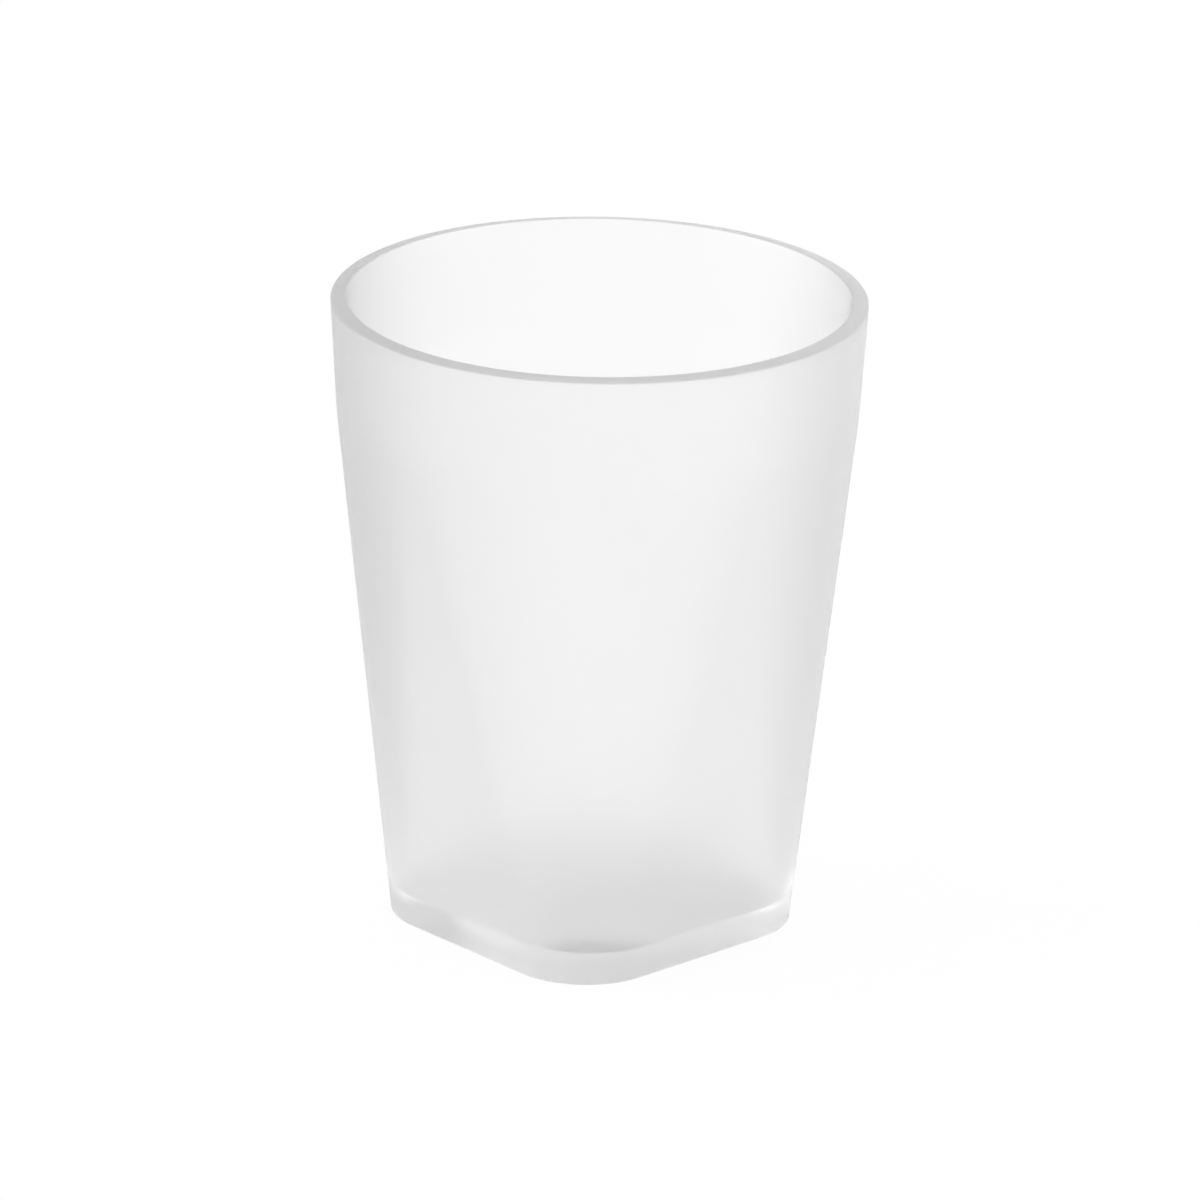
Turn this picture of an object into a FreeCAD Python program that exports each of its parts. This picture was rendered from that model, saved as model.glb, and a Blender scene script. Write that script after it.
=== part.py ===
"""Bathroom tumbler: one piece of thick frosted glass, round at the mouth and square at the foot.

The outside is a round, slightly coned collar on a body that runs straight down from the circle of the
shoulder to a rounded square at the foot. The cavity follows the same shape at the wall's thickness.
Millimetres, +Z up, origin on the table under the middle of the foot, flat sides across X and Y.
"""

import FreeCAD
import Part

import math
import os

# Outside sizes.
HEIGHT = 94.6  # table to the lip's inner edge, before it is rounded
RIM_DIAMETER = 77.0  # at the lip's outer edge, before it is rounded
COLLAR_HEIGHT = 17.2  # shoulder to the lip's inner edge
SHOULDER_DIAMETER = 75.0  # where the round collar meets the squared body
FOOT_WIDTH = 48.2  # across the flat sides, at the table
FOOT_CORNER_RADIUS = 12.0  # in plan, at the table

# Glass thickness.
RIM_WALL = 2.4  # level thickness of the collar, from one edge of the lip to the other
FOOT_WALL = 3.0  # level thickness beside the cavity's floor
FLOOR = 4.5  # under the cavity's edge

# The lip slopes outwards a little.
LIP_DROP = 0.4  # how far its outer edge lies below its inner one
LIP_REACH_SHARE = 2  # the slope is carried on inwards as far again, where the mouth cuts it

# Rounded edges.
LIP_OUTER_RADIUS = 0.3
LIP_INNER_RADIUS = 0.3
FOOT_EDGE_RADIUS = 0.4
CAVITY_EDGE_RADIUS = 0.6

# Shallow round hollow under the foot, which leaves a flat ring to stand on.
STANDING_RING = 5.0  # width of that ring at the middle of a side, where it is narrowest
HOLLOW_DEPTH = 0.7

# The lip's two roundings together stay narrower than the wall that carries them.
LIP_OUTER_LIMIT_SHARE = 0.6
LIP_INNER_LIMIT_SHARE = 0.3

CUT_OVERRUN = 5.0  # how far a cutting shape passes the glass
TOUCHING = 1e-6  # closer than this counts as the same place

AXIS = FreeCAD.Vector(0, 0, 1)
ORIGIN = FreeCAD.Vector(0, 0, 0)


def between(low, high, share):
    """The value that lies that share of the way from low to high."""
    return low + (high - low) * share


def four_turns(shapes):
    """The shapes of one quarter, turned round the axis to make all four."""
    turned = []
    for quarter in range(4):
        turned += [shape.rotated(ORIGIN, AXIS, quarter * 90) for shape in shapes]
    return turned


def closed_solid(faces):
    shell = Part.makeShell(faces)
    shell.sewShape()
    return Part.makeSolid(shell)


def level_edges(shape, z):
    """The edges that lie flat at one height."""
    level = []
    for edge in shape.Edges:
        box = edge.BoundBox
        if abs(box.ZMin - z) < TOUCHING and abs(box.ZMax - z) < TOUCHING:
            level.append(edge)
    return level


def quarter_arc(half, corner, z):
    """One corner of a rounded square: a quarter of the whole circle where corner equals half."""
    centre = half - corner
    diagonal = centre + corner * math.sqrt(1 / 2)
    start = FreeCAD.Vector(half, centre, z)
    middle = FreeCAD.Vector(diagonal, diagonal, z)
    end = FreeCAD.Vector(centre, half, z)
    return Part.Arc(start, middle, end).toShape()


def square_to_round(half, corner, z_low, edge_radius, radius, z_high):
    """A rounded square below, a circle above, and straight lines from one to the other.

    Each side of the square rises as a flat triangle to one point of the circle, and each corner opens out
    to a quarter of it. The edge of the lower end is rounded.
    """
    low_arc = quarter_arc(half, corner, z_low)
    high_arc = quarter_arc(radius, radius, z_high)
    side_start = low_arc.Vertexes[-1].Point
    side_end = FreeCAD.Vector(-side_start.x, side_start.y, z_low)
    low_side = Part.LineSegment(side_start, side_end).toShape()
    triangle = [side_start, side_end, high_arc.Vertexes[-1].Point, side_start]
    walls = four_turns([Part.makeRuledSurface(low_arc, high_arc), Part.Face(Part.makePolygon(triangle))])
    low_end = Part.Face(Part.Wire(four_turns([low_arc, low_side])))
    high_end = Part.Face(Part.Wire(four_turns([high_arc])))
    body = closed_solid([low_end, high_end] + walls)
    rounded = body.makeFillet(edge_radius, level_edges(body, z_low))
    return closed_solid(rounded.Faces)


def outside_form():
    """The outer shape of the glass, filled solid."""
    shoulder_z = HEIGHT - COLLAR_HEIGHT
    shoulder = SHOULDER_DIAMETER / 2
    rim = RIM_DIAMETER / 2
    rim_z = HEIGHT - LIP_DROP
    body = square_to_round(FOOT_WIDTH / 2, FOOT_CORNER_RADIUS, 0, FOOT_EDGE_RADIUS, shoulder, shoulder_z)
    collar = Part.makeCone(shoulder, rim, rim_z - shoulder_z, FreeCAD.Vector(0, 0, shoulder_z))
    slope_end = rim - RIM_WALL * LIP_REACH_SHARE
    slope = Part.makeCone(rim, slope_end, LIP_DROP * LIP_REACH_SHARE, FreeCAD.Vector(0, 0, rim_z))
    collar = collar.fuse(slope)
    lip_radius = min(LIP_OUTER_RADIUS, RIM_WALL * LIP_OUTER_LIMIT_SHARE)
    collar = collar.makeFillet(lip_radius, level_edges(collar, rim_z))
    return body.fuse(collar)


def cavity_form():
    """The space inside the glass, with its mouth carried on past the lip."""
    shoulder_z = HEIGHT - COLLAR_HEIGHT
    shoulder = SHOULDER_DIAMETER / 2 - RIM_WALL
    rim = RIM_DIAMETER / 2 - RIM_WALL
    floor_share = FLOOR / shoulder_z
    half = between(FOOT_WIDTH, SHOULDER_DIAMETER, floor_share) / 2 - FOOT_WALL
    corner = between(FOOT_CORNER_RADIUS, SHOULDER_DIAMETER / 2, floor_share) - FOOT_WALL
    body = square_to_round(half, corner, FLOOR, CAVITY_EDGE_RADIUS, shoulder, shoulder_z)
    collar = Part.makeCone(shoulder, rim, COLLAR_HEIGHT, FreeCAD.Vector(0, 0, shoulder_z))
    mouth = Part.makeCylinder(rim, CUT_OVERRUN, FreeCAD.Vector(0, 0, HEIGHT))
    return body.fuse([collar, mouth])


def underside_hollow():
    """The cap of a large ball, which hollows the foot inside its standing ring."""
    reach = FOOT_WIDTH / 2 - STANDING_RING
    radius = (reach**2 + HOLLOW_DEPTH**2) / (2 * HOLLOW_DEPTH)
    return Part.makeSphere(radius, FreeCAD.Vector(0, 0, HOLLOW_DEPTH - radius))


def tumbler_glass():
    glass = outside_form().cut([cavity_form(), underside_hollow()])
    lip_edges = level_edges(glass, HEIGHT)
    inner_edge = min(lip_edges, key=lambda edge: edge.Curve.Radius)
    lip_radius = min(LIP_INNER_RADIUS, RIM_WALL * LIP_INNER_LIMIT_SHARE)
    return glass.makeFillet(lip_radius, [inner_edge])


os.makedirs("parts", exist_ok=True)
glass = tumbler_glass()
print("valid", glass.isValid(), "solids", len(glass.Solids), "volume", round(glass.Volume))
glass.exportStep("parts/tumbler_glass.step")
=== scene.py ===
import math

import bmesh
import bpy
from mathutils import Matrix, Vector


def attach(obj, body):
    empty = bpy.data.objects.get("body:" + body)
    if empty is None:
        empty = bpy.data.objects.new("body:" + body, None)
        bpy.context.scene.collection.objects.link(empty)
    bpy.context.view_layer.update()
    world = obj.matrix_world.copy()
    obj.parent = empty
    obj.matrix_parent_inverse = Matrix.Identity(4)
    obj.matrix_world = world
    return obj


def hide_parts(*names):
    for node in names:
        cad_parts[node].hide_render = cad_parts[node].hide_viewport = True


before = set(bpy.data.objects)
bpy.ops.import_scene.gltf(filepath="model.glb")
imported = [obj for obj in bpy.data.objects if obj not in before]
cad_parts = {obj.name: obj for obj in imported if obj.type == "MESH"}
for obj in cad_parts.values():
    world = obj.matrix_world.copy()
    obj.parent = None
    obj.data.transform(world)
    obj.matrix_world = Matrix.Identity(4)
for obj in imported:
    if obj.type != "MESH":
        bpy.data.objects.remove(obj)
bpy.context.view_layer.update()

# The tumbler's glass is one moulded piece: a round, slightly coned collar on a body that turns into a
# rounded square at the foot, with a thick floor. The skin is etched to a satin inside and out and is a
# little smoother at the lip. It is fixed to nothing and stands on the ring round the hollow under its foot.
MM = 0.001
height = 94.6 * MM
rim_radius = 38.5 * MM
collar_height = 17.2 * MM
shoulder_radius = 37.5 * MM
foot_half = 24.1 * MM
foot_corner_radius = 12.0 * MM
rim_wall = 2.4 * MM
foot_wall = 3.0 * MM
floor_z = 4.5 * MM
hollow_radius = 19.1 * MM
hollow_depth = 0.7 * MM
lip_drop = 0.4 * MM
lip_z = height - lip_drop
shoulder_z = height - collar_height
inner_rim = rim_radius - rim_wall
inner_shoulder = shoulder_radius - rim_wall
# How far from a sharp edge its rounding starts.
lip_outer_tangent = 0.25 * MM
lip_inner_tangent = 0.35 * MM
foot_edge_tangent = 0.35 * MM
cavity_edge_tangent = 0.52 * MM
shoulder_tangent = 2.0 * MM
# Fineness of the mesh: steps of the spin, cuts across each stretch of a section and facets of a rounding.
steps_round = 256
middle_cuts = 8
standing_cuts = 2
body_cuts = 30
collar_cuts = 6
lip_cuts = 1
facets = 6
fine_facets = 8
same_place = 0.01 * MM
quarter_turn = math.pi / 2


def between(start, end, share):
    return start + (end - start) * share


def outside_ring(z):
    """Half width and corner radius of the outside at one height."""
    rise = min(z / shoulder_z, 1)
    return between(foot_half, shoulder_radius, rise), between(foot_corner_radius, shoulder_radius, rise)


floor_half, floor_corner = (size - foot_wall for size in outside_ring(floor_z))


def cavity_ring(z):
    """Half width and corner radius of the cavity at one height."""
    rise = min((z - floor_z) / (shoulder_z - floor_z), 1)
    return between(floor_half, inner_shoulder, rise), between(floor_corner, inner_shoulder, rise)


def reach_at(vert, half, corner):
    """Distance from the axis to a rounded square's outline, in the direction of a vertex."""
    angle = math.atan2(vert.co.y, vert.co.x)
    turn = abs((angle + quarter_turn / 2) % quarter_turn - quarter_turn / 2)
    centre = half - corner
    if turn <= math.atan2(centre, half):
        return half / math.cos(turn)
    along = centre * (math.cos(turn) + math.sin(turn))
    aside = centre * (math.cos(turn) - math.sin(turn))
    return along + math.sqrt(corner**2 - aside**2)


def spin_skin(section, cuts, ring):
    """Cuts up the lines of a half section, spins it into a skin and squares that as ring says."""
    skin = bmesh.new()
    verts = [skin.verts.new((x, 0, z)) for x, z in section]
    lines = [skin.edges.new(pair) for pair in zip(verts, verts[1:])]
    for line, count in zip(lines, cuts):
        bmesh.ops.subdivide_edges(skin, edges=[line], cuts=count)
    bmesh.ops.spin(
        skin, geom=skin.verts[:] + skin.edges[:], cent=(0, 0, 0), axis=(0, 0, 1), angle=math.tau,
        steps=steps_round, use_merge=True,
    )
    for vert in skin.verts:
        half, corner = ring(vert.co.z)
        vert.co.xy *= reach_at(vert, half, corner) / half
    return skin


def ring_edges(skin, z, half, corner):
    """The closed loop of edges that lies on a rounded square at one height."""
    on_ring = set()
    for vert in skin.verts:
        aside = vert.co.xy.length - reach_at(vert, half, corner)
        if abs(vert.co.z - z) < same_place and abs(aside) < same_place:
            on_ring.add(vert)
    return [edge for edge in skin.edges if on_ring.issuperset(edge.verts)]


outside_section = [
    (0, 0),
    (hollow_radius, 0),
    (foot_half, 0),
    (shoulder_radius, shoulder_z),
    (rim_radius, lip_z),
    (inner_rim, height),
]
cavity_section = [(inner_rim, height), (inner_shoulder, shoulder_z), (floor_half, floor_z), (0, floor_z)]
outside_cuts = [middle_cuts, standing_cuts, body_cuts, collar_cuts, lip_cuts]
cavity_cuts = [collar_cuts, body_cuts, middle_cuts]
outside = spin_skin(outside_section, outside_cuts, outside_ring)
glass = spin_skin(cavity_section, cavity_cuts, cavity_ring)
mesh = bpy.data.meshes.new("frosted_tumbler")
outside.to_mesh(mesh)
glass.from_mesh(mesh)
outside.free()
bmesh.ops.remove_doubles(glass, verts=glass.verts, dist=same_place)
bmesh.ops.recalc_face_normals(glass, faces=glass.faces)
for z, half, corner, tangent, segments in (
    (0, foot_half, foot_corner_radius, foot_edge_tangent, facets),
    (shoulder_z, shoulder_radius, shoulder_radius, shoulder_tangent, facets),
    (shoulder_z, inner_shoulder, inner_shoulder, shoulder_tangent, facets),
    (lip_z, rim_radius, rim_radius, lip_outer_tangent, fine_facets),
    (height, inner_rim, inner_rim, lip_inner_tangent, facets),
    (floor_z, floor_half, floor_corner, cavity_edge_tangent, fine_facets),
):
    bmesh.ops.bevel(
        glass, geom=ring_edges(glass, z, half, corner), affect="EDGES", offset=tangent, offset_type="OFFSET",
        segments=segments, profile=0.5, material=-1,
    )
for vert in glass.verts:
    across = vert.co.xy.length / hollow_radius
    if vert.co.z < same_place and across < 1:
        vert.co.z = hollow_depth * (1 - across**2)
for face in glass.faces:
    face.smooth = True
glass.to_mesh(mesh)
glass.free()
tumbler = bpy.data.objects.new("frosted_tumbler", mesh)
bpy.context.scene.collection.objects.link(tumbler)
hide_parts("tumbler_glass")
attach(tumbler, "root")

glass_colour = (1, 1, 1, 1)
glass_ior = 1.5
etched_roughness = 0.31
lip_roughness = 0.28
smooth_from = height - 0.9 * MM
smooth_to = height - 0.5 * MM
cloud_scale = 70
cloud_detail = 2
cloud_spread = 0.015
grain_scale = 2600
grain_detail = 1
grain_spread = 0.01
grain_depth = 0.01 * MM
grain_strength = 0.1


def feed(tree, value, socket):
    """Gives a node's input a plain number, or links another node's output to it."""
    if isinstance(value, float):
        socket.default_value = value
    else:
        tree.links.new(value, socket)


def math_node(tree, operation, first, second):
    """What an operation makes of two outputs or plain numbers."""
    node = tree.nodes.new("ShaderNodeMath")
    node.operation = operation
    feed(tree, first, node.inputs[0])
    feed(tree, second, node.inputs[1])
    return node.outputs["Value"]


def mix_numbers(tree, share, first, second):
    """The first number where the share is 0, and the second where it is 1."""
    node = tree.nodes.new("ShaderNodeMix")
    node.data_type = "FLOAT"
    feed(tree, share, node.inputs["Factor"])
    feed(tree, first, node.inputs["A"])
    feed(tree, second, node.inputs["B"])
    return node.outputs["Result"]


def ramp(tree, value, low, high, at_low, at_high, curve="SMOOTHSTEP"):
    """A number that goes from at_low to at_high while the value goes from low to high."""
    node = tree.nodes.new("ShaderNodeMapRange")
    node.interpolation_type = curve
    tree.links.new(value, node.inputs["Value"])
    for name, number in (("From Min", low), ("From Max", high), ("To Min", at_low), ("To Max", at_high)):
        node.inputs[name].default_value = number
    return node.outputs["Result"]


def noise(tree, place, scale, detail):
    """Noise over the piece's own coordinates."""
    node = tree.nodes.new("ShaderNodeTexNoise")
    tree.links.new(place, node.inputs["Vector"])
    node.inputs["Scale"].default_value = scale
    node.inputs["Detail"].default_value = detail
    return node.outputs["Fac"]


etched = bpy.data.materials.new("etched_glass")
etched.use_nodes = True
tree = etched.node_tree
shader = tree.nodes["Principled BSDF"]
shader.inputs["Base Color"].default_value = glass_colour
shader.inputs["Transmission Weight"].default_value = 1.0
shader.inputs["IOR"].default_value = glass_ior
place = tree.nodes.new("ShaderNodeTexCoord").outputs["Object"]
split = tree.nodes.new("ShaderNodeSeparateXYZ")
tree.links.new(place, split.inputs["Vector"])
# How far the acid left its mark: 1 on the etched skin and 0 on the smoother lip.
mark = ramp(tree, split.outputs["Z"], smooth_from, smooth_to, 1.0, 0.0)
# The etch is a little uneven: broad faint clouds and a fine grain.
clouds = noise(tree, place, cloud_scale, cloud_detail)
grain = noise(tree, place, grain_scale, grain_detail)
least_cloudy = etched_roughness - cloud_spread
most_cloudy = etched_roughness + cloud_spread
cloudy = ramp(tree, clouds, 0, 1, least_cloudy, most_cloudy, "LINEAR")
grainy = ramp(tree, grain, 0, 1, -grain_spread, grain_spread, "LINEAR")
uneven = math_node(tree, "ADD", cloudy, grainy)
tree.links.new(mix_numbers(tree, mark, lip_roughness, uneven), shader.inputs["Roughness"])
bump = tree.nodes.new("ShaderNodeBump")
bump.inputs["Strength"].default_value = grain_strength
bump.inputs["Distance"].default_value = grain_depth
tree.links.new(math_node(tree, "MULTIPLY", grain, mark), bump.inputs["Height"])
tree.links.new(bump.outputs["Normal"], shader.inputs["Normal"])
mesh.materials.append(etched)

# The camera has a long lens and the photo's viewing angle: it looks down by about 20 degrees, with one corner
# of the foot in front. The two shifts put the tumbler where the photo has it.
photo_azimuth = math.radians(-42.33)
photo_elevation = math.radians(19.97)
photo_roll = math.radians(0.93)
camera_distance = 1366 * MM
shift_right = 0.739 * MM
shift_up = 0.955 * MM
# Millimetres on the sensor, as the camera takes them.
sensor_width = 36.0
lens_length = 283.4
# Metres from the camera between which it sees.
nearest_seen = 0.05
farthest_seen = 100
to_right = Vector((math.cos(photo_azimuth), math.sin(photo_azimuth), 0))
to_back = Vector((-math.sin(photo_azimuth), math.cos(photo_azimuth), 0))
away = -to_back * math.cos(photo_elevation) + Vector((0, 0, math.sin(photo_elevation)))
look = (-away).to_track_quat("-Z", "Y")
aim = Vector((0, 0, height / 2)) + look @ Vector((shift_right, shift_up, 0))
camera_place = Matrix.Translation(aim + away * camera_distance)
camera_turn = look.to_matrix().to_4x4() @ Matrix.Rotation(photo_roll, 4, "Z")
camera = bpy.data.objects.new("photo_camera", bpy.data.cameras.new("photo_camera"))
bpy.context.scene.collection.objects.link(camera)
camera.data.sensor_width = sensor_width
camera.data.lens = lens_length
camera.data.clip_start = nearest_seen
camera.data.clip_end = farthest_seen
camera.matrix_world = camera_place @ camera_turn
bpy.context.scene.camera = camera
bpy.context.scene.view_settings.view_transform = "Standard"

# The floor is a wide white sheet just under the foot. The camera and the glass see it mostly as an even glow,
# mixed with a little of the lit sheet, so that it keeps part of the tumbler's shadow.
floor_gap = 0.05 * MM
floor_width = 40.0
floor_white = 0.9
floor_roughness = 0.9
floor_seen = 0.95
floor_in_glass = 0.96
bpy.ops.mesh.primitive_plane_add(size=floor_width, location=(0, 0, -floor_gap))
floor = bpy.context.object
floor.name = "studio_floor"
white = bpy.data.materials.new("studio_white")
white.use_nodes = True
tree = white.node_tree
paint = tree.nodes["Principled BSDF"]
paint.inputs["Base Color"].default_value = (floor_white, floor_white, floor_white, 1)
paint.inputs["Roughness"].default_value = floor_roughness
paint.inputs["Specular IOR Level"].default_value = 0.0
rays = tree.nodes.new("ShaderNodeLightPath").outputs
place = tree.nodes.new("ShaderNodeTexCoord").outputs["Object"]


def measure(operation, vector):
    """Distance of the floor's points from one point, or along one direction."""
    node = tree.nodes.new("ShaderNodeVectorMath")
    node.operation = operation
    tree.links.new(place, node.inputs[0])
    node.inputs[1].default_value = vector
    return node.outputs["Value"]


def mix_shaders(share, first, second):
    """The first shader where the share is 0, and the second where it is 1."""
    node = tree.nodes.new("ShaderNodeMixShader")
    tree.links.new(share, node.inputs["Fac"])
    tree.links.new(first, node.inputs[1])
    tree.links.new(second, node.inputs[2])
    return node.outputs["Shader"]


# Through the glass two round painted shadows show on it, where only a share of the glow is kept and more of
# the lit sheet, with its real shadow, shows: a wide one under the right front of the foot and a deeper one at
# the near corner. Places and radii are in millimetres, and each painted shadow is even as far as its inner
# radius and ends at its outer one.
painted_shadows = []
for right, front, inner, outer, kept in (
    (9, 9, 16, 22, 0.74),
    (1, 27, 6, 12, 0.3),
):
    centre = to_right * right * MM - to_back * front * MM
    painted_shadows.append(ramp(tree, measure("DISTANCE", centre), inner * MM, outer * MM, kept, 1.0))
painted_shadow = math_node(tree, "MULTIPLY", *painted_shadows)
in_glass = math_node(tree, "MAXIMUM", rays["Is Glossy Ray"], rays["Is Transmission Ray"])
in_glass = math_node(tree, "MULTIPLY", in_glass, floor_in_glass)
# The painted shadows cut the share of glow that the glass sees.
in_glass = math_node(tree, "MULTIPLY", in_glass, painted_shadow)
seen = math_node(tree, "MULTIPLY", rays["Is Camera Ray"], floor_seen)
# In the glass its glow is painted darker towards the left, a painted fall-off of light.
fall_off_from = 25 * MM
fall_off_to = 150 * MM
left_level = 0.78
fall_off = ramp(tree, measure("DOT_PRODUCT", -to_right), fall_off_from, fall_off_to, 1.0, left_level)
glow = tree.nodes.new("ShaderNodeEmission")
tree.links.new(mix_numbers(tree, rays["Is Camera Ray"], fall_off, 1.0), glow.inputs["Strength"])
glowing = math_node(tree, "MAXIMUM", in_glass, seen)
sheet = mix_shaders(glowing, paint.outputs["BSDF"], glow.outputs["Emission"])
# From below it is clear to the camera, so that the underside shows.
underside = tree.nodes.new("ShaderNodeNewGeometry").outputs["Backfacing"]
clear = tree.nodes.new("ShaderNodeBsdfTransparent")
seen_from_below = math_node(tree, "MULTIPLY", underside, rays["Is Camera Ray"])
one_sided = mix_shaders(seen_from_below, sheet, clear.outputs["BSDF"])
tree.links.new(one_sided, tree.nodes["Material Output"].inputs["Surface"])
floor.data.materials.append(white)

# The light is an even white room with three softboxes: a strong one on the left, a weaker one on the right
# and a small, faint one behind. All of them are lifted by the same angle and face the lower body.
room_colour = (1, 1, 1, 1)
room_level = 0.9
lamp_distance = 0.7
lamp_lift = math.radians(20)
lamp_aim = Vector((0, 0, 30 * MM))
watts_per_square_metre = 4
most_bounces = 32
room = bpy.data.worlds.new("studio")
bpy.context.scene.world = room
room.use_nodes = True
background = room.node_tree.nodes["Background"]
background.inputs["Color"].default_value = room_colour
background.inputs["Strength"].default_value = room_level
# Degrees round the tumbler from the camera's side, width and height in metres, and level.
for name, around, wide, high, level in (
    ("key_softbox", -90, 0.8, 0.5, 2.4),
    ("fill_softbox", 90, 0.8, 0.5, 1.0),
    ("back_softbox", 155, 0.5, 0.45, 0.3),
):
    light = bpy.data.lights.new(name, "AREA")
    light.shape = "RECTANGLE"
    light.size = wide
    light.size_y = high
    light.energy = watts_per_square_metre * wide * high * level
    lamp = bpy.data.objects.new(name, light)
    bpy.context.scene.collection.objects.link(lamp)
    level_way = to_right * math.sin(math.radians(around)) - to_back * math.cos(math.radians(around))
    way = level_way * math.cos(lamp_lift) + Vector((0, 0, math.sin(lamp_lift)))
    lamp_turn = way.to_track_quat("Z", "Y").to_matrix().to_4x4()
    lamp.matrix_world = Matrix.Translation(lamp_aim + way * lamp_distance) @ lamp_turn
bpy.context.scene.cycles.max_bounces = most_bounces
bpy.context.scene.cycles.glossy_bounces = most_bounces
bpy.context.scene.cycles.transmission_bounces = most_bounces
